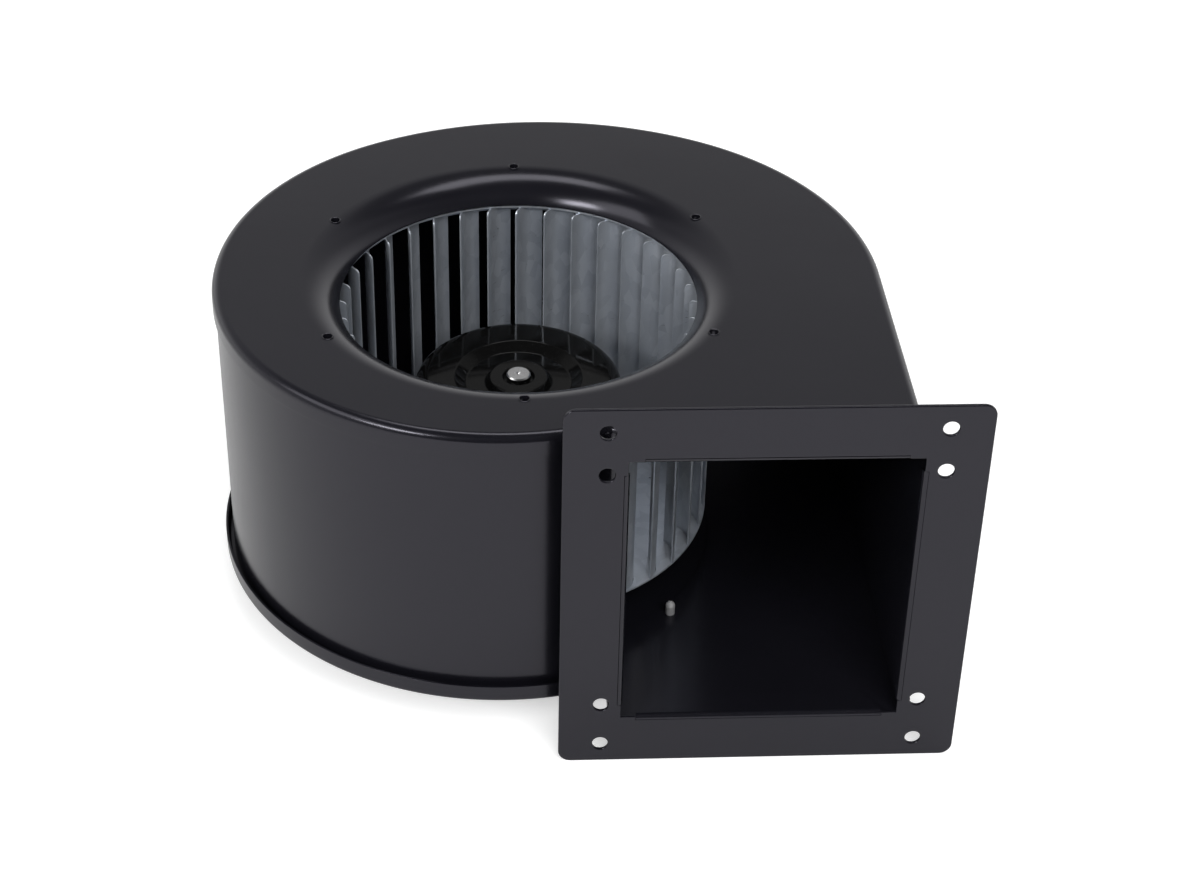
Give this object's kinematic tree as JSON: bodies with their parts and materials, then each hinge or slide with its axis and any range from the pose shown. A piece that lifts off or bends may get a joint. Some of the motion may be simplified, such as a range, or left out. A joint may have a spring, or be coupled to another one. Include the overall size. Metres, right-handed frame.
{
  "type": "dc blower fan",
  "caption": "Single-inlet centrifugal blower with a steel scroll housing, drawn inlet nozzle, flanged square outlet and a forward-curved impeller on an external-rotor motor.",
  "frame": {"origin": "on the fan axis, in the face of the motor base on which the blower stands", "axes": "+Z along the fan axis out of the inlet, -Y out of the outlet flange, +X towards the flange's side of the housing"},
  "size_m": [0.2956, 0.2566, 0.1712],
  "materials": {
    "housing_black": "satin powder coat",
    "can_black": "gloss paint",
    "galvanised_steel": "galvanised",
    "bright_steel": "ground and polished",
    "zinc_steel": "zinc plated",
    "cast_aluminium": "die cast",
    "turned_brass": "turned",
    "lamination_steel": "varnished",
    "magnet_ferrite": "matt",
    "winding_copper": "enamelled",
    "insulator_nylon": "matt",
    "board_laminate": "solder mask",
    "sensor_plastic": "matt",
    "capacitor_sleeve": "sleeve",
    "grommet_rubber": "matt"
  },
  "bodies": {
    "housing": {"inlet_cover": "housing_black", "scroll_wall": "housing_black", "back_plate": "housing_black", "outlet_flange": "housing_black", "motor_plate": "housing_black", "plate_screws": "zinc_steel", "motor_screws": "zinc_steel", "motor_base": "cast_aluminium", "bearing_tube": "turned_brass", "lower_bearing_outer": "bright_steel", "lower_bearing_balls": "bright_steel", "upper_bearing_outer": "bright_steel", "upper_bearing_balls": "bright_steel", "bearing_cap": "zinc_steel", "preload_spring": "bright_steel", "stator_core": "lamination_steel", "stator_insulators": "insulator_nylon", "stator_windings": "winding_copper", "control_board": "board_laminate", "hall_board": "board_laminate", "hall_sensors": "sensor_plastic", "board_capacitors": "capacitor_sleeve", "board_screws": "zinc_steel", "lead_grommet": "grommet_rubber"},
    "rotor": {"rotor_can": "can_black", "rotor_hub": "cast_aluminium", "shaft": "bright_steel", "rotor_magnets": "magnet_ferrite", "lower_bearing_inner": "bright_steel", "upper_bearing_inner": "bright_steel", "retaining_ring": "bright_steel", "impeller_back_plate": "galvanised_steel", "impeller_blades": "galvanised_steel", "impeller_top_ring": "galvanised_steel"}
  },
  "joints": [
    {"name": "rotor_spin", "type": "hinge", "parent": "housing", "child": "rotor", "pos_m": [0, 0, 0.0998], "axis": [0, 0, -1], "continuous": true}
  ]
}
